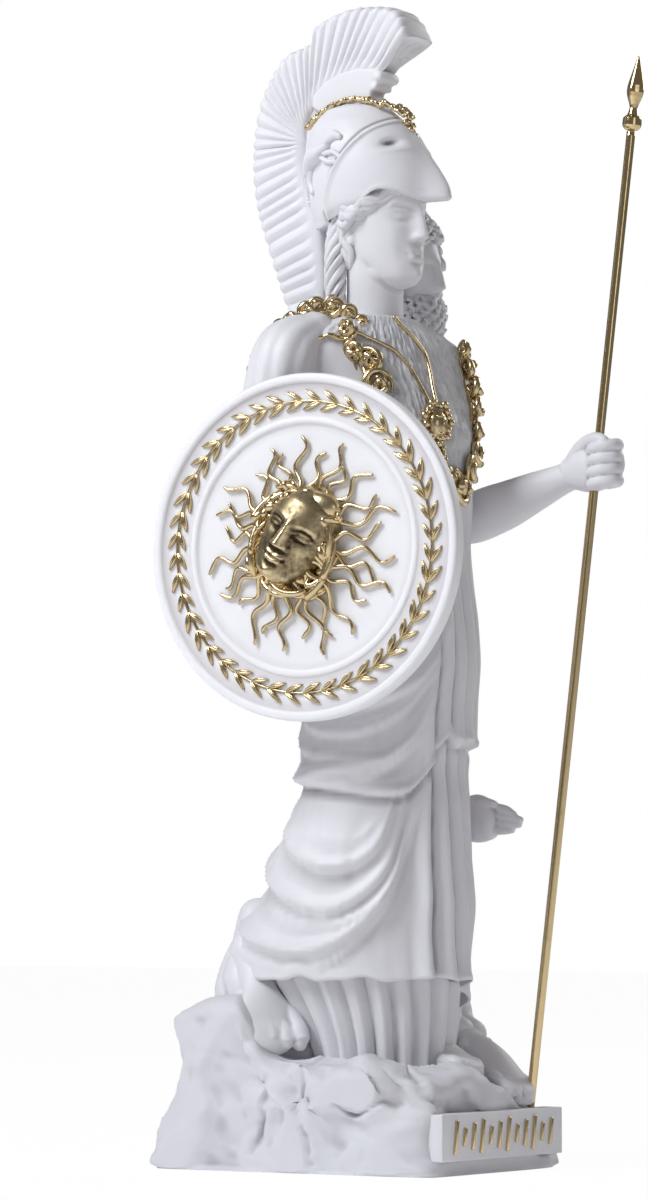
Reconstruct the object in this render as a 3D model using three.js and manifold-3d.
// Athena statue: goddess and companion cast in one with a rock plinth, plus shield and spear.
// Millimetres, +Z up. The goddess faces -Y, her shield is on the -X side and her spear in front.
// The origin is on the flat underside of the plinth, below the goddess.
import * as THREE from 'three';
import Module from 'manifold-3d';
import { mergeVertices } from 'three/addons/utils/BufferGeometryUtils.js';

const wasm = await Module();
wasm.setup();

// Driving dimensions
const statueHeight = 387.5;    // underside of the plinth to the top of the crest
const plinthFront = -55;       // front face of the rock, which carries the plaque
const plinthBack = 55;
const plinthShieldSide = -43;
const plinthFarSide = 69;
const plaqueLength = 75;
const plaqueHeight = 15.2;
const plaqueRaise = 1.6;       // how far the plaque stands proud of the rock
const plaqueFoot = 4.8;        // lower edge of the plaque above the ground
const strokeRaise = 0.8;
const shieldDiameter = 113.4;
const shieldThickness = 4.6;
const shieldRim = 9.2;         // width of the raised outer rim
const shieldRimRaise = 1.1;
const shieldRelief = 1.5;      // height of the wreath and the snakes
const shieldBossHeight = 10;   // the gorgon mask above the shield's face
const spearDiameter = 3;
const spearHeadLength = 25;
const spearHeadWidth = 6;
const spearCollarDiameter = 6.4;
const spearSocketDepth = 3;
const seatGap = 0.3;           // clearance between pieces that touch

// Free forms are written in carving units, with heights from a floor a little below the plinth's underside.
// The span runs from the underside of the plinth to the top of the crest.
const carvedSpan = [3.5, 391];
const unit = statueHeight / (carvedSpan[1] - carvedSpan[0]);

// Fineness of the faceted solids
const castingTriangles = 7320;
const shieldTriangles = 2100;

const marble = new THREE.MeshStandardMaterial({ color: 0xece9ec, roughness: 0.55, metalness: 0 });
const shieldWhite = new THREE.MeshStandardMaterial({ color: 0xeeecef, roughness: 0.5, metalness: 0 });
const brass = new THREE.MeshStandardMaterial({ color: 0xb08d4c, roughness: 0.28, metalness: 1 });

const TAU = Math.PI * 2;
const rad = THREE.MathUtils.degToRad;
const clamp = THREE.MathUtils.clamp;
const smoothstep = (x, low, high) => THREE.MathUtils.smoothstep(x, low, high);
const placed = ([x, y, z]) => [x * unit, y * unit, (z - carvedSpan[0]) * unit];
const bell = (x) => Math.exp(-x * x);

// Angle from a to b in degrees, wrapped to -180..180.
const turn = (a, b) => ((b - a + 540) % 360 + 360) % 360 - 180;

// Values of a table at a height. Each row is [height, value, value, ...].
function level(rows, z) {
  const last = rows.length - 1;
  if (z <= rows[0][0]) return rows[0].slice(1);
  if (z >= rows[last][0]) return rows[last].slice(1);
  let i = 0;
  while (rows[i + 1][0] < z) i += 1;
  const t = (z - rows[i][0]) / (rows[i + 1][0] - rows[i][0]);
  const before = rows[Math.max(i - 1, 0)];
  const after = rows[Math.min(i + 2, last)];
  return rows[i].slice(1).map((p1, k) => {
    const p0 = before[k + 1];
    const p2 = rows[i + 1][k + 1];
    const p3 = after[k + 1];
    return 0.5 * (2 * p1 + (p2 - p0) * t + (2 * p0 - 5 * p1 + 4 * p2 - p3) * t * t
      + (3 * p1 - p0 - 3 * p2 + p3) * t * t * t);
  });
}

// A solid of triangles from points in millimetres.
function solid(points, faces) {
  const geometry = new THREE.BufferGeometry();
  const flat = points.flat();
  geometry.setAttribute('position', new THREE.Float32BufferAttribute(flat, 3));
  geometry.setIndex(faces.flat());
  return fromGeometry(geometry);
}

function fromGeometry(geometry) {
  const plain = geometry.clone();
  plain.deleteAttribute('normal');
  plain.deleteAttribute('uv');
  const merged = mergeVertices(plain, 1e-5);
  const body = new wasm.Manifold(new wasm.Mesh({
    numProp: 3,
    vertProperties: new Float32Array(merged.attributes.position.array),
    triVerts: new Uint32Array(merged.index.array),
  }));
  return body;
}

// Joins rings of equal length into a closed body. Rings run counter-clockwise seen from above and upwards.
// Their points are in carving units unless the way to place them says otherwise.
const asMade = (point) => point;
function loft(rings, place = placed) {
  const n = rings[0].length;
  const points = rings.flat().map(place);
  const faces = [];
  for (let j = 0; j + 1 < rings.length; j += 1) {
    for (let i = 0; i < n; i += 1) {
      const a = j * n + i;
      const b = j * n + (i + 1) % n;
      faces.push([a, b, b + n], [a, b + n, a + n]);
    }
  }
  const middle = (ring) => [0, 1, 2].map((k) => ring.reduce((sum, p) => sum + p[k], 0) / n);
  const low = points.push(middle(rings[0])) - 1;
  const high = points.push(middle(rings[rings.length - 1])) - 1;
  const top = (rings.length - 1) * n;
  for (let i = 0; i < n; i += 1) {
    faces.push([low, (i + 1) % n, i], [high, top + i, top + (i + 1) % n]);
  }
  return solid(points, faces);
}

// A limb through stations [x, y, z, radius, flattening], with round ends where the radius runs out.
function limb(stations, sides, roll = 0) {
  const centres = stations.map((s) => new THREE.Vector3(s[0], s[1], s[2]));
  const rings = [];
  let side = null;
  centres.forEach((c, j) => {
    const ahead = centres[Math.min(j + 1, centres.length - 1)];
    const behind = centres[Math.max(j - 1, 0)];
    const way = ahead.clone().sub(behind).normalize();
    if (!side) {
      const start = Math.abs(way.z) > 0.8 ? new THREE.Vector3(1, 0, 0) : new THREE.Vector3(0, 0, 1);
      side = start.cross(way).normalize();
    }
    side.sub(way.clone().multiplyScalar(side.dot(way))).normalize();
    const other = way.clone().cross(side);
    const [, , , radius, flat = 1] = stations[j];
    const ring = [];
    for (let i = 0; i < sides; i += 1) {
      const a = (i / sides) * TAU + roll;
      const p = c.clone().addScaledVector(side, radius * Math.cos(a));
      p.addScaledVector(other, radius * flat * Math.sin(a));
      ring.push([p.x, p.y, p.z]);
    }
    rings.push(ring);
  });
  return loft(rings);
}

function ball(x, y, z, rx, ry, rz, columns = 12, rows = 8, spin = 0) {
  const geometry = new THREE.SphereGeometry(1, columns, rows);
  geometry.rotateX(Math.PI / 2).scale(rx * unit, ry * unit, rz * unit);
  geometry.rotateZ(rad(spin)).translate(...placed([x, y, z]));
  return fromGeometry(geometry);
}

function box(x0, x1, y0, y1, z0, z1) {
  const geometry = new THREE.BoxGeometry(x1 - x0, y1 - y0, z1 - z0);
  geometry.translate((x0 + x1) / 2, (y0 + y1) / 2, (z0 + z1) / 2);
  return fromGeometry(geometry);
}

const join = (bodies) => bodies.reduce((all, body) => all.add(body));

// Thins a closed surface to a number of triangles by dropping the corners that shape it least. A corner is
// dropped onto a neighbour, where that bends the surface least and turns no triangle over.
function thinned(body, mostTriangles) {
  const { vertProperties, triVerts, numProp } = body.getMesh();
  const points = [];
  for (let i = 0; i < vertProperties.length; i += numProp) {
    points.push(new THREE.Vector3(vertProperties[i], vertProperties[i + 1], vertProperties[i + 2]));
  }
  let faces = [];
  for (let i = 0; i < triVerts.length; i += 3) faces.push([triVerts[i], triVerts[i + 1], triVerts[i + 2]]);
  const normalOf = (a, b, c) => b.clone().sub(a).cross(c.clone().sub(a));
  const planes = points.map(() => new Float64Array(10));
  for (const face of faces) {
    const n = normalOf(...face.map((v) => points[v]));
    const area = n.length();
    if (area > 0) {
      n.divideScalar(area);
      const d = -n.dot(points[face[0]]);
      const terms = [n.x * n.x, n.x * n.y, n.x * n.z, n.x * d, n.y * n.y, n.y * n.z, n.y * d, n.z * n.z, n.z * d, d * d];
      for (const v of face) terms.forEach((term, k) => { planes[v][k] += term * area; });
    }
  }
  const bend = (a, b, p) => {
    const q = (k) => planes[a][k] + planes[b][k];
    return p.x * (q(0) * p.x + 2 * (q(1) * p.y + q(2) * p.z + q(3)))
      + p.y * (q(4) * p.y + 2 * (q(5) * p.z + q(6))) + p.z * (q(7) * p.z + 2 * q(8)) + q(9);
  };
  while (faces.length > mostTriangles) {
    const around = points.map(() => []);
    for (const face of faces) for (const v of face) around[v].push(face);
    const moves = [];
    for (const face of faces) {
      for (let k = 0; k < 3; k += 1) {
        const [gone, kept] = [face[k], face[(k + 1) % 3]];
        const cost = bend(gone, kept, points[kept]) + 2e-4 * points[gone].distanceToSquared(points[kept]);
        moves.push([cost, gone, kept]);
      }
    }
    moves.sort((a, b) => a[0] - b[0]);
    const goesTo = points.map((p, v) => v);
    const busy = new Uint8Array(points.length);
    let wanted = Math.min((faces.length - mostTriangles) / 2, faces.length * 0.06);
    const before = wanted;
    for (const [, gone, kept] of moves) {
      if (wanted <= 0) break;
      if (busy[gone] || busy[kept]) continue;
      const ringOf = (v) => new Set(around[v].flat());
      const goneRing = ringOf(gone);
      const shared = [...ringOf(kept)].filter((v) => goneRing.has(v)).length;
      const sound = shared === 4 && around[gone].every((face) => {
        if (face.includes(kept)) return true;
        const old = normalOf(...face.map((v) => points[v]));
        const fresh = normalOf(...face.map((v) => points[v === gone ? kept : v]));
        return old.dot(fresh) > 0.35 * old.length() * fresh.length() && fresh.length() > 1e-3;
      });
      if (!sound) continue;
      goesTo[gone] = kept;
      planes[gone].forEach((term, k) => { planes[kept][k] += term; });
      for (const v of goneRing) busy[v] = 1;
      wanted -= 1;
    }
    if (wanted === before) break;
    faces = faces.map((face) => face.map((v) => goesTo[v]))
      .filter(([a, b, c]) => a !== b && b !== c && c !== a);
  }
  const used = [...new Set(faces.flat())];
  const place = new Map(used.map((v, i) => [v, i]));
  return new wasm.Manifold(new wasm.Mesh({
    numProp: 3,
    vertProperties: new Float32Array(used.flatMap((v) => points[v].toArray())),
    triVerts: new Uint32Array(faces.flat().map((v) => place.get(v))),
  }));
}

// A fold line across a robe: a rounded crest, steep on its lower side. Points are [degrees, height].
function foldLine(points, width, height, robeRadius) {
  const mmPerDegree = (robeRadius * TAU) / 360;
  return (angle, z) => {
    let best = Infinity;
    let below = false;
    let fade = 1;
    for (let i = 0; i + 1 < points.length; i += 1) {
      const [a0, z0] = points[i];
      const x1 = turn(points[i + 1][0], a0) * -mmPerDegree;
      const y1 = points[i + 1][1] - z0;
      const x = turn(a0, angle) * mmPerDegree;
      const y = z - z0;
      const t = clamp((x * x1 + y * y1) / (x1 * x1 + y1 * y1), 0, 1);
      const off = Math.hypot(x - t * x1, y - t * y1);
      if (off < best) {
        best = off;
        below = (x1 * y - y1 * x) * Math.sign(x1 || 1) < 0;
        const share = (i + t) / (points.length - 1);
        fade = 0.25 + 0.75 * Math.sqrt(Math.max(Math.sin(Math.PI * clamp(share, 0.02, 0.98)), 0));
      }
    }
    return height * fade * bell(best / (below ? width * 0.45 : width));
  };
}

// The goddess's robe, hips and trunk: [height, centre x, centre y, half width, half depth, turn of the trunk]
const trunk = [
  [66, 0, -1.8, 31, 36.6, 0],
  [80, 0, -1.2, 31, 36.2, 0],
  [92, 0, -3.4, 29.5, 34.2, 0],
  [108, 0, -5, 27.5, 31.6, 0],
  [124, 0.5, -8, 26, 27.6, 0],
  [134, 1, -9.3, 26, 25.2, 0],
  [144, 1.5, -9, 27, 26.6, 0],
  [156, 2.5, -9.5, 27, 26.2, 0],
  [170, 4, -12, 26, 24.4, 0],
  [185, 5, -12.5, 24.6, 22.2, -4],
  [200, 5, -13, 23.8, 20.6, -9],
  [212, 5, -13, 24.2, 19.8, -14],
  [226, 5, -12.5, 26.6, 20, -20],
  [245, 3, -10, 29, 20.8, -22],
  [258, 1.5, -8.6, 31, 18.6, -22],
  [268, 0.5, -7.4, 32.5, 15.6, -22],
  [275, 0, -6.6, 32, 13.6, -22],
  [281, 0, -6, 26, 12.2, -20],
  [286, 0.4, -5.6, 16, 11, -10],
];
const robeRadius = 30;
const folds = [
  foldLine([[-116, 158.7], [-139, 140], [-185, 134.3], [-237, 132], [-277, 141], [-310, 156]], 7, 2.6, robeRadius),
  foldLine([[-139, 122.3], [-146, 108.7], [-168, 102.7], [-199, 107], [-235, 117]], 6, 3, robeRadius),
  foldLine([[-130, 124.7], [-137, 103.7], [-166, 89.3], [-199, 92.3], [-240, 102], [-280, 116]], 6, 3.2, robeRadius),
  foldLine([[-116, 130.3], [-131, 102], [-151, 82.7], [-182, 75.3], [-225, 80], [-265, 92], [-300, 108]],
    6, 3.4, robeRadius),
  foldLine([[-108, 182], [-130, 164], [-170, 156], [-220, 160], [-260, 170]], 6, 2.2, robeRadius),
  foldLine([[-100, 205], [-125, 190], [-160, 182], [-200, 186], [-240, 196]], 6, 2, robeRadius),
];
const overfoldHem = [
  [-237, 131], [-221, 130.3], [-180, 128], [-144, 126.3], [-126, 128], [-113, 137], [-102, 145],
  [-80, 142.7], [-60, 143], [-40, 150], [0, 150], [60, 146], [100, 138], [123, 131],
];
const aegisEdge = [
  [-237, 264], [-200, 276], [-165, 276], [-157, 263], [-150, 249], [-135, 237], [-115, 230], [-95, 229],
  [-75, 232], [-60, 240], [-52, 252], [-46, 264], [-40, 274], [-20, 270], [60, 258], [123, 264],
];

// How far the cloth stands out from the plain trunk at an angle and height.
function drapery(angle, z) {
  let out = folds.reduce((sum, fold) => sum + fold(angle, z), 0);
  const pleated = smoothstep(turn(-122, angle), 0, 12) * (1 - smoothstep(turn(-122, angle), 150, 175));
  const pleatDepth = level([[66, 2.1], [120, 1.9], [150, 1.4], [185, 1], [215, 0.6], [228, 0]], z)[0];
  out += pleated * pleatDepth * Math.cos(rad(turn(-100, angle)) * 24.8 + 0.03 * (z - 100));
  const hem = level(overfoldHem, turn(0, angle) > 123 ? turn(0, angle) - 360 : turn(0, angle))[0];
  out += 2.2 * smoothstep(z - hem, -0.8, 1.2) * (1 - 0.8 * smoothstep(z, 180, 215));
  const knee = bell(turn(-172, angle) / 34) * bell((z - 116) / 15);
  const groove = bell(turn(-128, angle) / 9) * bell((z - 112) / 20);
  const thigh = bell(turn(-160, angle) / 40) * bell((z - 150) / 26);
  const bust = bell(turn(-86, angle) / 24) * bell((z - 246) / 11) + bell(turn(-140, angle) / 24) * bell((z - 246) / 11);
  const edge = level(aegisEdge, turn(0, angle) > 123 ? turn(0, angle) - 360 : turn(0, angle))[0];
  const trailing = bell(turn(112, angle) / 30) * (1 - smoothstep(z, 66, 100));
  out += 3.4 * knee - 3.2 * groove + 1.5 * thigh + 2.6 * bust + 9 * trailing;
  out += 1.3 * smoothstep(z - edge, -0.6, 0.9) * (1 - smoothstep(z, 278, 286));
  return out;
}

function trunkRing(z, angles, table = trunk, cloth = drapery, edgeFade = 1) {
  const [cx, cy, rx, ry, spin] = level(table, z);
  return angles.map((angle) => {
    const a = rad(angle - spin);
    const out = 1 / Math.hypot(Math.cos(a) / rx, Math.sin(a) / ry) + cloth(angle, z) * edgeFade;
    return [cx + out * Math.cos(rad(angle)), cy + out * Math.sin(rad(angle)), z];
  });
}

// Angles around the robe, closer together across the pleats than across the back.
const pleatSteps = 24;
const plainSteps = 17;
const robeAngles = [];
for (let i = 0; i < pleatSteps; i += 1) robeAngles.push(-128 + (i * 118) / pleatSteps);
for (let i = 0; i < plainSteps; i += 1) robeAngles.push(-10 + (i * 242) / plainSteps);

const trunkHeights = [66, 76, 85, 93, 101, 108, 115, 122, 128, 134, 140, 144, 151, 160, 170, 184, 198, 212, 224, 230,
  240, 250, 260, 268, 276, 286];
// On the far side, from one angle round to the other, the cloth hangs lower than the hem in front.
const hemDrop = 13;
const hangingLower = ([x, y, z], angle) => [x, y, z - hemDrop * smoothstep(turn(-86, angle), 0, 10)
  * (1 - smoothstep(turn(-86, angle), 60, 110)) * (1 - smoothstep(z, 66, 93))];
const robe = loft(trunkHeights.map((z) => trunkRing(z, robeAngles).map((p, i) => hangingLower(p, robeAngles[i]))));

// The inner tunic that shows below the robe, gathered into flutes down to the rock.
const tunicTable = [
  [30, 1, -8.4, 20, 21, 0],
  [44, 1, -8.4, 21, 23, 0],
  [56, 1, -6, 25, 28, 0],
  [68, 0, -2, 28.5, 33, 0],
];
const fluteCount = 20;
const fluteDepth = 1.5;
const flutes = (angle, z) => fluteDepth * Math.cos(rad(angle) * fluteCount)
  + 7 * bell(turn(115, angle) / 34) * smoothstep(z, 38, 66);
const tunicAngles = [];
for (let i = 0; i < fluteCount * 2; i += 1) tunicAngles.push((i * 180) / fluteCount);
const tunic = loft([30, 44, 58, 68].map((z) => trunkRing(z, tunicAngles, tunicTable, flutes)));

// Rock plinth: a rounded block with a stepped, broken top.
// Each side is [direction of its outward normal in degrees, distance from the origin].
const rockSides = [[180, -plinthShieldSide], [-90, -plinthFront], [0, plinthFarSide], [90, plinthBack],
  [-45, 0.53 * (plinthFarSide - plinthFront)], [45, 0.56 * (plinthFarSide + plinthBack)]];
const rockSteps = 40;
const rockTop = [[-180, 41], [-165, 40], [-145, 40], [-130, 33], [-115, 34], [-90, 34], [-65, 29], [-45, 25],
  [-25, 27], [0, 30], [40, 32], [80, 40], [110, 50], [130, 58], [143, 55], [154, 43], [164, 40], [180, 41]];
// Rings from the ground to the middle of the top: share of the outline, share of the height, roughness
const rockRings = [
  [1, 0, 0], [1.005, 0.12, 0.5], [0.985, 0.32, 1.2], [0.95, 0.55, 1.6], [0.97, 0.76, 1.5], [0.94, 0.94, 1.2],
  [0.85, 1, 0.9], [0.6, 0.97, 0.8], [0.3, 0.96, 0],
];
const crag = (angle, k) => Math.sin(rad(angle) * 5 + k * 2.1) + 0.7 * Math.sin(rad(angle) * 11 - k * 1.7)
  + 0.4 * Math.sin(rad(angle) * 19 + k * 3.3);
const rock = loft(rockRings.map(([share, rise, rough], k) => {
  const ring = [];
  for (let i = 0; i < rockSteps; i += 1) {
    const angle = -180 + (i * 360) / rockSteps;
    const c = Math.cos(rad(angle));
    const s = Math.sin(rad(angle));
    const cut = rockSides.map(([way, off]) => Math.max(Math.cos(rad(angle - way)) / off, 0) ** 16);
    const reach = cut.reduce((sum, term) => sum + term) ** (-1 / 16);
    const shift = rough * crag(angle, k);
    const out = Math.min(reach * share + shift, reach);
    const top = placed([0, 0, level(rockTop, angle)[0]])[2];
    ring.push([c * out, s * out, k === 0 ? 0 : rise * top + 0.4 * shift]);
  }
  return ring;
}), asMade);

// Plaque with a row of short raised strokes
const plaqueMiddle = plaqueLength / 2 + plinthShieldSide + 4.6;
const plaque = box(plaqueMiddle - plaqueLength / 2, plaqueMiddle + plaqueLength / 2,
  plinthFront - plaqueRaise, plinthFront + 6, plaqueFoot, plaqueFoot + plaqueHeight);
const strokeCount = 12;
const strokeLean = 8;            // degrees
const strokes = [];
for (let i = 0; i < strokeCount; i += 1) {
  const length = plaqueHeight * [0.74, 0.4, 0.58][i % 3];
  const stroke = new THREE.BoxGeometry(1.6, strokeRaise * 2, length);
  stroke.rotateY(rad(strokeLean));
  const pitch = plaqueLength * 0.86 / strokeCount;
  stroke.translate(plaqueMiddle + (i - (strokeCount - 1) / 2) * pitch, plinthFront - plaqueRaise,
    plaqueFoot + plaqueHeight / 2);
  strokes.push(fromGeometry(stroke));
}

// Head: rows are [height, centre y, half width, half depth], and the face looks towards -Y.
const skull = [
  [293, -14, 4, 6], [296, -14.5, 6.5, 8.6], [300, -12.6, 9, 11.6], [305, -10.8, 10.8, 14], [311, -9.6, 12, 15.6],
  [318, -9, 12.6, 16.4], [325, -8.6, 12.6, 16.6], [332, -8, 11, 14.6], [338, -7, 7, 9],
];
function face(angle, z) {
  const off = turn(-90, angle);
  const nose = 3.4 * bell(off / 8.5) * smoothstep(z, 309.6, 311.4) * (1 - smoothstep(z, 311.8, 326)) * 1
    + 1.1 * bell(off / 9) * smoothstep(z, 309, 312) * (1 - smoothstep(z, 325, 331));
  const sockets = -1.5 * (bell((off - 24) / 12) + bell((off + 24) / 12)) * bell((z - 319.6) / 3);
  const brow = 0.7 * bell(off / 36) * bell((z - 324) / 2.2);
  const lips = 1.0 * bell(off / 15) * (bell((z - 307.2) / 1.1) + bell((z - 304.8) / 1.2));
  const chin = 1.5 * bell(off / 18) * bell((z - 299) / 3);
  const fold = -0.6 * bell(off / 16) * bell((z - 302.6) / 1.1);
  return nose + sockets + brow + lips + chin + fold;
}
const headAngles = [];
for (let i = 0; i < 11; i += 1) headAngles.push(-135 + i * 9);
for (let i = 0; i < 6; i += 1) headAngles.push(-30 + (i * 240) / 6);
const head = loft([293, 296, 299, 302, 304.8, 307.2, 309.4, 311.6, 315, 319, 323.5, 330, 338].map((z) => {
  const [cy, rx, ry] = level(skull, z);
  return trunkRing(z, headAngles, [[0, 0, cy, rx, ry, 0]], face);
}));
const neck = limb([[0.6, -5.6, 276, 12.4], [0.6, -5.8, 283, 10.6], [0.3, -6.2, 292, 9.6], [0, -7, 302, 9.8],
  [0, -8, 312, 10]], 12);

// Hair waving back from the temples below the helmet, with a tress down the neck
const hair = [];
for (const side of [-1, 1]) {
  for (let k = 0; k < 2; k += 1) {
    const rise = k * 4.6;
    hair.push(limb([[side * 9, -20 + k, 325 - rise * 0.3, 1.6], [side * 12.6, -13, 322 - rise, 2.7],
      [side * 13, -4, 317 - rise, 3], [side * 9, 5, 314 - rise, 2.8]], 5));
  }
  hair.push(limb([[side * 8, 4, 312, 3.4], [side * 8.6, 5.6, 302, 3.8], [side * 9, 6, 292, 3.4],
    [side * 9.6, 5, 283, 2.6]], 6));
}
hair.push(ball(0, -1, 315, 12.4, 10, 13, 10, 6));

// Helmet: [height, centre y, half width, half depth], with the nose guard pushed up over the brow
const helmetTable = [
  [317, 4.6, 10.5, 9], [321, 0, 13.6, 14.6], [326, -5, 15.6, 21], [332, -6.4, 16.2, 22], [339, -5.4, 16, 20.8],
  [346, -3.2, 14.8, 18.8], [352, -0.6, 12, 16.4], [357, 0.6, 7.8, 11.6], [359.6, 0.6, 3, 5],
];
function visor(angle, z) {
  const off = turn(-90, angle);
  const beak = 9 * bell(off / 14) * bell((z - 325) / 7.5);
  const browRidge = 1.1 * bell((z - 337 + 0.09 * Math.abs(off)) / 1.6) * (1 - smoothstep(Math.abs(off), 95, 120));
  const slot = -1.3 * (bell((off - 32) / 13) + bell((off + 32) / 13)) * bell((z - 345) / 2.2);
  return beak + browRidge + slot;
}
const helmetAngles = [];
const helmetSteps = 20;
for (let i = 0; i < helmetSteps; i += 1) helmetAngles.push(-90 + (i * 360) / helmetSteps);
const helmet = loft([317, 321, 326, 331, 335, 338, 342, 348, 354, 359.6].map((z) => {
  const [cy, rx, ry] = level(helmetTable, z);
  return trunkRing(z, helmetAngles, [[0, 0, cy, rx, ry, 0]], visor).map(([x, y, h]) => {
    const front = smoothstep(-y, -2, 20);
    return [x, y, Math.max(h, 317 + front * 8.4)];
  });
}));

// Crest: a fan of flutes between an inner and an outer curve, in the plane of the head
const crestInner = new THREE.CatmullRomCurve3([[-15, 369.5], [-4, 371.4], [6, 368], [14, 361.6], [20, 352],
  [22.6, 340], [20.5, 326], [16, 312], [14.2, 299], [15, 289]].map(([y, z]) => new THREE.Vector3(0, y, z)));
const crestOuter = new THREE.CatmullRomCurve3([[-26.5, 378.6], [-20.5, 387.8], [-4, 391], [14, 385.4], [28, 375.4],
  [37, 361.6], [40.2, 343], [38.6, 325.6], [32.4, 307.4], [25.6, 288.6]].map(([y, z]) => new THREE.Vector3(0, y, z)));
const crestFlutes = 30;
const crestHalf = 4.2;
const crestRings = [];
for (let i = 0; i <= crestFlutes * 2; i += 1) {
  const t = i / (crestFlutes * 2);
  const low = crestInner.getPointAt(t);
  const high = crestOuter.getPointAt(t);
  const groove = i % 2 ? 0.62 : 1;
  const tail = 1 - 0.3 * smoothstep(t, 0.6, 1);
  const half = crestHalf * tail;
  crestRings.push([
    [-half * 0.95, low.y, low.z], [half * 0.95, low.y, low.z],
    [half * groove, high.y, high.z], [-half * groove, high.y, high.z],
  ]);
}
const crestFan = loft(crestRings.reverse());
const crestBandRings = [];
for (let i = 0; i <= 14; i += 1) {
  const t = (i / 14) * 0.86;
  const p = crestInner.getPointAt(t);
  const way = crestInner.getTangentAt(t);
  const inward = [-way.z, way.y];
  const deep = 3.2;
  crestBandRings.push([
    [-5, p.y + inward[0] * deep, p.z + inward[1] * deep], [5, p.y + inward[0] * deep, p.z + inward[1] * deep],
    [5, p.y - inward[0] * 1.2, p.z - inward[1] * 1.2], [-5, p.y - inward[0] * 1.2, p.z - inward[1] * 1.2],
  ]);
}
const crestBand = loft(crestBandRings);
const crestStem = loft([[350, 5.6, -9, 14], [360, 5, -8, 9], [370, 4.6, -8, 4]].map(([z, half, y0, y1]) => (
  [[-half, y0, z], [half, y0, z], [half, y1, z], [-half, y1, z]])));
const crestScroll = limb([[0, -6, 364, 2.4], [0, -10, 367, 2.2], [0, -12.4, 365, 1.8]], 8);
const helmetTrim = [];
for (const side of [-1, 1]) {
  const beads = [];
  for (let i = 0; i < 11; i += 1) {
    const y = 14 - i * 3.7;
    beads.push([side * 4.6, y, 359.4 - 0.026 * (y + 1) ** 2, i % 2 ? 2.4 : 1.5]);
  }
  helmetTrim.push(limb(beads, 5));
}

// Arms. The near arm hangs from the shoulder and bends forward to hold the shield, the far one holds the spear.
const nearArm = limb([[-24, 4, 279, 7], [-31, 8, 272, 10.4], [-34.5, 10.6, 258, 10.2], [-36, 12, 240, 9.2],
  [-36, 11, 226, 8.6], [-36.6, 5, 217, 8], [-38, -5, 212, 7], [-39.6, -14, 210, 6], [-40.2, -18, 210, 5]], 10);
const nearShoulder = ball(-18, 2, 277, 9.5, 9.5, 8, 10, 6);
const farArm = limb([[22, -16, 276, 6.6], [29.6, -18, 269, 10], [34.6, -15, 257, 10], [40, -10, 240, 9],
  [43, -9, 227, 8.8], [42.4, -15, 221.6, 8.8], [40, -30, 224, 8.4], [37.6, -45, 228.4, 6.8], [36, -58, 232.4, 5],
  [35.4, -64, 234, 4.8], [35.2, -67, 235, 5]], 10);
const spearFoot = [29.4, -48.8, 26.4];
const spearGrip = [35, -71.4, 235.6];
const palm = limb([[35.4, -63, 234, 5, 1.2], [35, -67.5, 235, 6.2, 1.25], [34.8, -73, 236, 6.4, 1.25],
  [34.8, -77.4, 236.6, 5, 1.2]], 8);
const fingers = [0, 1, 2, 3].map((k) => limb([[38, -78, 242 - k * 4.1, 2.3], [32, -79.6, 242.4 - k * 4.1, 2.5],
  [29.8, -72, 241.8 - k * 4, 2]], 5));
fingers.push(limb([[35.6, -64, 240, 2.6], [31.4, -70, 244.6, 2.6], [32.6, -78, 244.8, 1.8]], 5));

// Feet: a sandalled foot from heel to toes. The heel is [x, y, z] and the toes end at [x, y, z].
function foot(heel, toe, ankle, width) {
  const from = new THREE.Vector3(...heel);
  const way = new THREE.Vector3(...toe).sub(from);
  const across = new THREE.Vector3(-way.y, way.x, 0).normalize();
  const up = way.clone().cross(across).normalize();
  const along = (t, lift) => from.clone().addScaledVector(way, t).addScaledVector(up, lift).toArray();
  const parts = [limb([[...along(-0.02, 4.4), 4.4], [...along(0.1, 5), 6.4, 1.1], [...along(0.45, 5.4), 6.6, 0.95],
    [...along(0.74, 3), width * 0.5, 0.5], [...along(0.86, 2.4), width * 0.42, 0.36]], 8)];
  parts.push(limb([[...along(0.1, 6), 6], [ankle[0], ankle[1], ankle[2], 6.2]], 8));
  for (let k = 0; k < 5; k += 1) {
    const offset = (k - 2) * width * 0.2;
    const reach = 1 - 0.035 * (k - 1) ** 2 * 0.6;
    const at = (t, lift) => along(t, lift).map((v, n) => v + (n < 2 ? [across.x, across.y][n] * offset : 0));
    parts.push(limb([[...at(0.74, 3), 2.1], [...at(reach, 1.9), 1.6]], 5));
  }
  const sole = [];
  for (const lift of [-1.6, 0.8]) {
    const ring = [];
    for (let i = 0; i < 8; i += 1) {
      const a = ((i + 0.5) / 8) * TAU;
      const t = 0.5 - 0.56 * Math.cos(a);
      const half = width * (0.42 + 0.16 * t) * Math.sin(a);
      const p = along(t, lift);
      ring.push([p[0] + across.x * half, p[1] + across.y * half, p[2]]);
    }
    sole.push(ring.reverse());
  }
  parts.push(loft(sole));
  return join(parts);
}
const nearFoot = foot([-14, 37, 73], [-31, 14, 43], [-11, 33, 86], 24);

// The end of the robe hangs over the raised heel, down to the instep of the trailing foot
const trailingCloth = limb([[-2, 20, 98, 9], [-6, 27, 84, 10.5], [-11, 32.5, 70, 11.4], [-15, 32.5, 62, 11.8],
  [-20, 29, 56.5, 11], [-22.6, 25, 53, 10.8]], 10);
const farFoot = foot([10, -14, 35.6], [2, -44, 35.6], [10, -12, 52], 17);
const thirdFoot = foot([36, -8, 41], [22, -51, 26.4], [38, -2, 54], 18);

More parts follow.
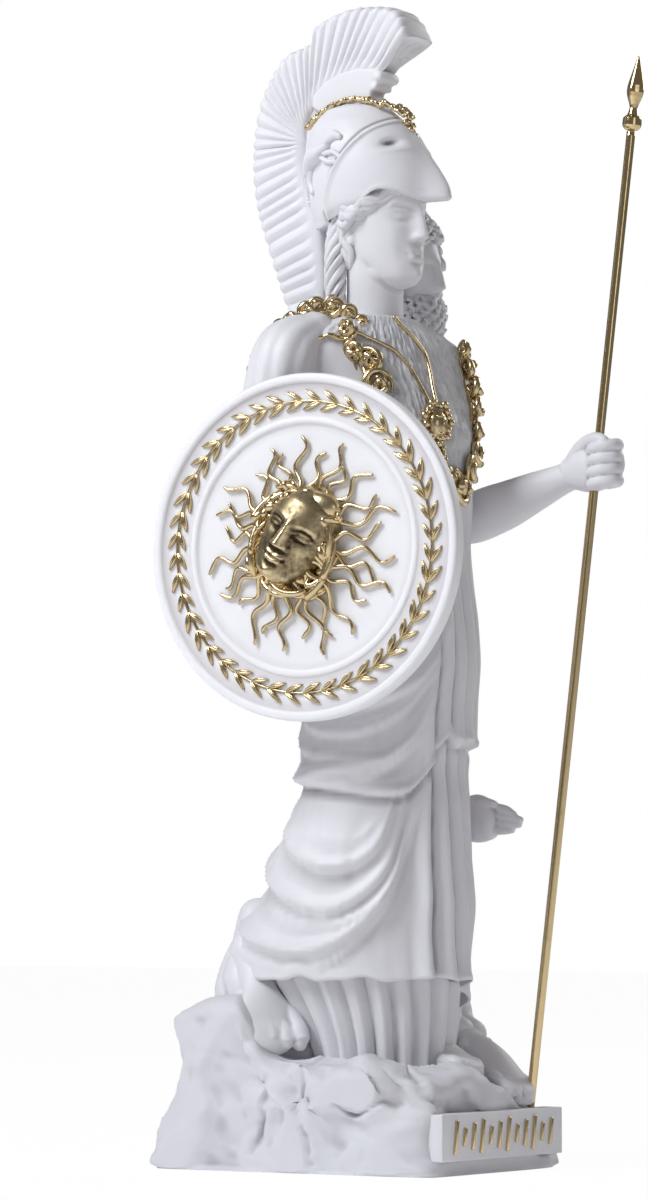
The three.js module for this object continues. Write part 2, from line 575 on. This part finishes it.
// Companion: a robed figure close behind the far shoulder, cast in one with the goddess
const companionTable = [
  [26, 44, 21, 21, 22, 0], [60, 44, 21, 20, 20.5, 0], [100, 44, 19, 19.6, 19.6, 0], [130, 43, 17, 19.6, 18.6, 0],
  [160, 43, 15.6, 19, 17.4, 0], [190, 43, 14, 17.6, 15.6, 0], [225, 43, 12.6, 19.4, 15, 0], [244, 43, 12, 21.6, 14.2, 0],
  [256, 43, 12, 21.4, 12.4, 0], [264, 44, 12, 17, 10, 0], [272, 45, 11.6, 9, 8, 0],
];
const companionFolds = (angle, z) => 1.5 * Math.cos(rad(angle) * 10 + 0.02 * z) * (1 - smoothstep(z, 120, 200))
  + 1.4 * Math.sin(rad(angle) + z * 0.09) * smoothstep(z, 110, 150) * (1 - smoothstep(z, 250, 270));
const companionAngles = [];
const companionSteps = 20;
for (let i = 0; i < companionSteps; i += 1) companionAngles.push((i * 360) / companionSteps);
const companionRobe = loft([26, 80, 122, 150, 176, 200, 225, 240, 254, 264, 272]
  .map((z) => trunkRing(z, companionAngles, companionTable, companionFolds)));
const companionHead = [
  limb([[45, 12, 262, 9], [45, 11, 278, 8.6], [44.6, 9, 290, 9]], 8),
  ball(44.6, 10, 304, 11.6, 14, 16.6, 10, 7),
  ball(44.6, 13, 307, 13.6, 14.6, 16, 11, 7),
  ball(44, -1, 289, 9.6, 8.6, 14, 9, 6),
  limb([[44.6, -4.6, 309, 1.2], [44.6, -5.8, 305, 1.8], [44.6, -6.8, 301, 2.2], [44.6, -4, 299.6, 1.4]], 5),
];
const curls = [];
for (let k = 0; k < 11; k += 1) {
  const a = rad(-150 + k * 137.5);
  const z = 298 + ((k * 7) % 22);
  const out = 13.4 * Math.sqrt(Math.max(1 - ((z - 307) / 17) ** 2, 0.05));
  curls.push(ball(44.6 + out * Math.cos(a), 13 + Math.max(out * Math.sin(a), -10), z, 3.6, 3.6, 3.4, 5, 3));
}
const companionArm = limb([[57, 12, 252, 8], [61, 12, 240, 8.6], [62, 14, 215, 8.2], [61, 15, 188, 7.6], [57, 8, 160, 6.6],
  [49, -3, 136, 5.4], [42, -12, 123, 4.4], [39, -17, 120, 4]], 8);
const companionSleeve = limb([[60, 12, 246, 9], [63, 14, 215, 10.4], [62, 15, 180, 11], [56, 8, 154, 9]], 8);
const openHand = limb([[39, -16, 120, 4.2, 1.3], [37, -21, 119.6, 5.4, 1.5], [35, -29, 118.8, 5, 1.4]], 8);
const openFingers = [0, 1, 2, 3].map((k) => limb([[35.4, -27, 123 - k * 2.9, 2],
  [33, -42 - (k === 1 ? 1 : 0), 120.4 - k * 1.6, 1.4]], 5));
openFingers.push(limb([[36.4, -19, 123.6, 2.2], [33, -30, 127, 1.7]], 5));

// Snakes curled along the border of the aegis, and the pendant mask on the breast
function curl(x, y, z, size, lean) {
  const stations = [0, 1, 2, 3].map((i) => {
    const a = rad(i * 85);
    const aside = size * Math.cos(a);
    return [x - aside * Math.sin(rad(lean)), y + aside * Math.cos(rad(lean)), z + size * Math.sin(a), size * 0.55];
  });
  return limb(stations, 4);
}
const aegisSnakes = [];
for (const angle of [-161, -156, -149, -138, -122, -106, -90, -74, -60, -52, -45, -38, 0, 50, 100]) {
  const z = level(aegisEdge, angle)[0];
  const [[x, y]] = trunkRing(z, [angle]);
  aegisSnakes.push(curl(x, y, z, 2.9, angle));
}
aegisSnakes.push(limb([[-20, 17, 281, 2], [-27, 12, 284, 2.6], [-24, 4, 288, 3], [-18, -2, 288, 3.2],
  [-14, -9, 283, 3], [-12, -15, 276, 2.6]], 6));
const [[pendantX, pendantY]] = trunkRing(248, [-112]);
const pendant = [
  ball(pendantX, pendantY - 0.6, 248, 5.2, 3.4, 6.6, 8, 6),
  ball(pendantX + 1, pendantY + 0.6, 239, 3.4, 2.6, 3.6, 6, 4),
];

// Spear: a rod leaning from its socket in the rock through the fist, with a turned head
const footPoint = new THREE.Vector3(...placed(spearFoot));
const gripPoint = new THREE.Vector3(...placed(spearGrip));
const spearWay = gripPoint.clone().sub(footPoint).normalize();
const spearTilt = new THREE.Quaternion().setFromUnitVectors(new THREE.Vector3(0, 0, 1), spearWay);
const spearTop = placed([0, 0, 347.6])[2];   // height of the joint between the rod and its head
const spearLength = (spearTop - footPoint.z) / spearWay.z + spearSocketDepth;
const socket = footPoint.clone().addScaledVector(spearWay, -spearSocketDepth);

function rod(radius, length, sides) {
  const geometry = new THREE.CylinderGeometry(radius, radius, length, sides);
  return geometry.rotateX(Math.PI / 2).translate(0, 0, length / 2);
}
const rodSides = 12;
const boreSlack = seatGap / Math.cos(Math.PI / rodSides);
const spearBore = rod(spearDiameter / 2 + boreSlack, spearLength + 60, rodSides);
spearBore.translate(0, 0, -seatGap).applyQuaternion(spearTilt).translate(socket.x, socket.y, socket.z);

// Shield: its face looks towards -X, and its centre is over the near forearm
const shieldCentre = new THREE.Vector3(...placed([-50.5, -11.4, 206.4]));
const shieldYaw = 4;
const shieldRadius = shieldDiameter / 2;
function placeShield(geometry) {
  geometry.rotateY(-Math.PI / 2).rotateZ(rad(shieldYaw));
  return geometry.translate(shieldCentre.x, shieldCentre.y, shieldCentre.z);
}
const shieldRoom = new THREE.CylinderGeometry(shieldRadius + 1, shieldRadius + 1, 60, 48).rotateX(Math.PI / 2);
placeShield(shieldRoom.translate(0, 0, 30 - shieldThickness - seatGap));

// The shells that bound small spaces closed in between joined bodies are dropped, so the casting is solid.
const withoutCavities = (body) => join(body.decompose().filter((shell) => shell.volume() > 0));
const carving = withoutCavities(join([rock, plaque, ...strokes, robe, tunic, trailingCloth, head, neck, ...hair,
  helmet, crestFan, crestBand, crestStem, crestScroll, ...helmetTrim, nearArm, nearShoulder, farArm, palm, ...fingers,
  nearFoot, farFoot, thirdFoot, companionRobe, ...companionHead, ...curls, companionArm, companionSleeve, openHand,
  ...openFingers, ...aegisSnakes, ...pendant]));
const casting = withoutCavities(thinned(carving, castingTriangles)
  .subtract(fromGeometry(spearBore)).subtract(fromGeometry(shieldRoom)));

// Shield relief, drawn flat with the face towards +Z, +X towards its top and +Y towards the back of the statue
const faceProfile = [
  [0, -shieldThickness], [shieldRadius - 1, -shieldThickness], [shieldRadius, -shieldThickness + 1],
  [shieldRadius, shieldRimRaise - 0.6], [shieldRadius - 0.8, shieldRimRaise], [shieldRadius - 2.2, shieldRimRaise],
  [shieldRadius - 3.4, 0], [shieldRadius * 0.745, 0], [shieldRadius * 0.735, 0.7], [shieldRadius * 0.715, 0.7],
  [shieldRadius * 0.705, -0.3], [0, -0.3],
].map(([r, z]) => new THREE.Vector2(r, z));
const disc = new THREE.LatheGeometry(faceProfile, 40).rotateX(Math.PI / 2);
const shieldBodies = [fromGeometry(disc)];
const wreathRadius = shieldRadius - shieldRim;
const leafPairs = 30;
const leafLength = 7.4;
function leaf(x, y, heading, length, width, rise) {
  const tip = [x + length * Math.cos(heading), y + length * Math.sin(heading)];
  const mid = [x + 0.5 * length * Math.cos(heading), y + 0.5 * length * Math.sin(heading)];
  const aside = [-Math.sin(heading) * width / 2, Math.cos(heading) * width / 2];
  const points = [[x + aside[0], y + aside[1], -0.8], [...tip, -0.8], [x - aside[0], y - aside[1], -0.8], [...mid, rise]];
  const faces = [[0, 2, 3], [2, 1, 3], [1, 0, 3], [0, 1, 2]];
  return solid(points, faces);
}
for (let i = 0; i < leafPairs; i += 1) {
  const a = (i / leafPairs) * TAU;
  const along = a + Math.PI / 2;
  for (const side of [-1, 1]) {
    const r = wreathRadius + side * 0.5;
    shieldBodies.push(leaf(r * Math.cos(a), r * Math.sin(a), along - side * 0.62, leafLength, 2.4, shieldRelief));
  }
}

// A snake as a tapered wavy ridge from [radius, angle] outwards
const snakeCount = 18;
for (let i = 0; i < snakeCount; i += 1) {
  const start = (i / snakeCount) * TAU;
  const reach = shieldRadius * [0.62, 0.54, 0.59, 0.5][i % 4];
  const rings = [];
  const steps = 5;
  for (let j = 0; j <= steps; j += 1) {
    const t = j / steps;
    const r = shieldRadius * 0.2 + (reach - shieldRadius * 0.2) * t;
    const sway = (0.5 + 2.3 * t) * Math.sin(t * TAU * 1.5 + i * 2.4);
    const x = r * Math.cos(start) - sway * Math.sin(start);
    const y = r * Math.sin(start) + sway * Math.cos(start);
    const half = 1.25 - 0.75 * t;
    const aside = [-Math.sin(start) * half, Math.cos(start) * half];
    rings.push([[x - aside[0], y - aside[1], -0.8], [x + aside[0], y + aside[1], -0.8],
      [x + aside[0] * 0.2, y + aside[1] * 0.2, 0.4 + shieldRelief * (1.3 - 0.5 * t)]]);
  }
  shieldBodies.push(loft(rings, asMade));
}
const maskAt = [1.3, 2];     // middle of the mask, from the middle of the shield
const chinWay = rad(157);      // the chin points down and towards the back
const gorgon = new THREE.SphereGeometry(1, 12, 8).scale(shieldRadius * 0.185, shieldRadius * 0.24, shieldBossHeight);
shieldBodies.push(fromGeometry(gorgon.rotateZ(chinWay + Math.PI / 2).translate(...maskAt, -1)));
const gorgonHair = [];
const lockRadius = shieldRadius * 0.067;
for (let i = 0; i < 8; i += 1) {
  const a = (i / 8) * TAU + 0.2;
  const lock = new THREE.SphereGeometry(1, 5, 4).scale(lockRadius, lockRadius, 3.6);
  lock.translate(maskAt[0] + shieldRadius * 0.2 * Math.cos(a), maskAt[1] + shieldRadius * 0.2 * Math.sin(a), 0);
  gorgonHair.push(fromGeometry(lock));
}
const faceAt = (across, up, z) => [
  maskAt[0] - up * Math.cos(chinWay) - across * Math.sin(chinWay),
  maskAt[1] - up * Math.sin(chinWay) + across * Math.cos(chinWay), z];
const featureBall = (across, up, z, r) => {
  const [x, y, h] = faceAt(across, up, z);
  return fromGeometry(new THREE.SphereGeometry(r, 5, 4).translate(x, y, h));
};
const gorgonFace = [featureBall(0, -0.6, 8.3, 1.7), featureBall(0, 1.2, 8.4, 1.3), featureBall(-3.6, 2.6, 6.8, 1.7),
  featureBall(3.6, 2.6, 6.8, 1.7), featureBall(0, -4.6, 7.4, 1.7), featureBall(0, -8.6, 5.4, 2.4)];
const shieldFront = box(-shieldRadius - 1, shieldRadius + 1, -shieldRadius - 1, shieldRadius + 1,
  -shieldThickness, 40);
const relief = join([...shieldBodies, ...gorgonHair, ...gorgonFace]).intersect(shieldFront);
const shieldBody = thinned(withoutCavities(relief), shieldTriangles);

function meshOf(body, name, material) {
  const { vertProperties, triVerts, numProp } = body.getMesh();
  const geometry = new THREE.BufferGeometry();
  const points = [];
  for (let i = 0; i < vertProperties.length; i += numProp) {
    points.push(vertProperties[i], vertProperties[i + 1], vertProperties[i + 2]);
  }
  geometry.setAttribute('position', new THREE.Float32BufferAttribute(points, 3));
  geometry.setIndex(Array.from(triVerts));
  const mesh = new THREE.Mesh(geometry, material);
  mesh.name = name;
  return mesh;
}

const group = new THREE.Group();
group.add(meshOf(casting, 'statue', marble));
const shield = meshOf(shieldBody, 'shield', shieldWhite);
placeShield(shield.geometry);
group.add(shield);

const spearGroup = new THREE.Group();
spearGroup.position.copy(socket);
spearGroup.quaternion.copy(spearTilt);
const shaft = new THREE.Mesh(rod(spearDiameter / 2, spearLength, rodSides), brass);
shaft.name = 'spear_shaft';
spearGroup.add(shaft);
const headProfile = [
  [0, 0], [spearCollarDiameter * 0.34, 0], [spearCollarDiameter / 2, 1.4], [spearCollarDiameter / 2, 4.2],
  [spearCollarDiameter * 0.3, 5.4], [spearDiameter * 0.42, 7.4], [spearDiameter * 0.5, 9],
  [spearHeadWidth / 2, 13], [spearHeadWidth * 0.42, 17], [0.5, spearHeadLength - 1], [0, spearHeadLength],
].map(([r, z]) => new THREE.Vector2(r, z));
const spearHead = new THREE.Mesh(new THREE.LatheGeometry(headProfile, 10).rotateX(Math.PI / 2), brass);
spearHead.name = 'spear_head';
spearHead.position.z = spearLength + seatGap;
spearGroup.add(spearHead);
group.add(spearGroup);

export default group;
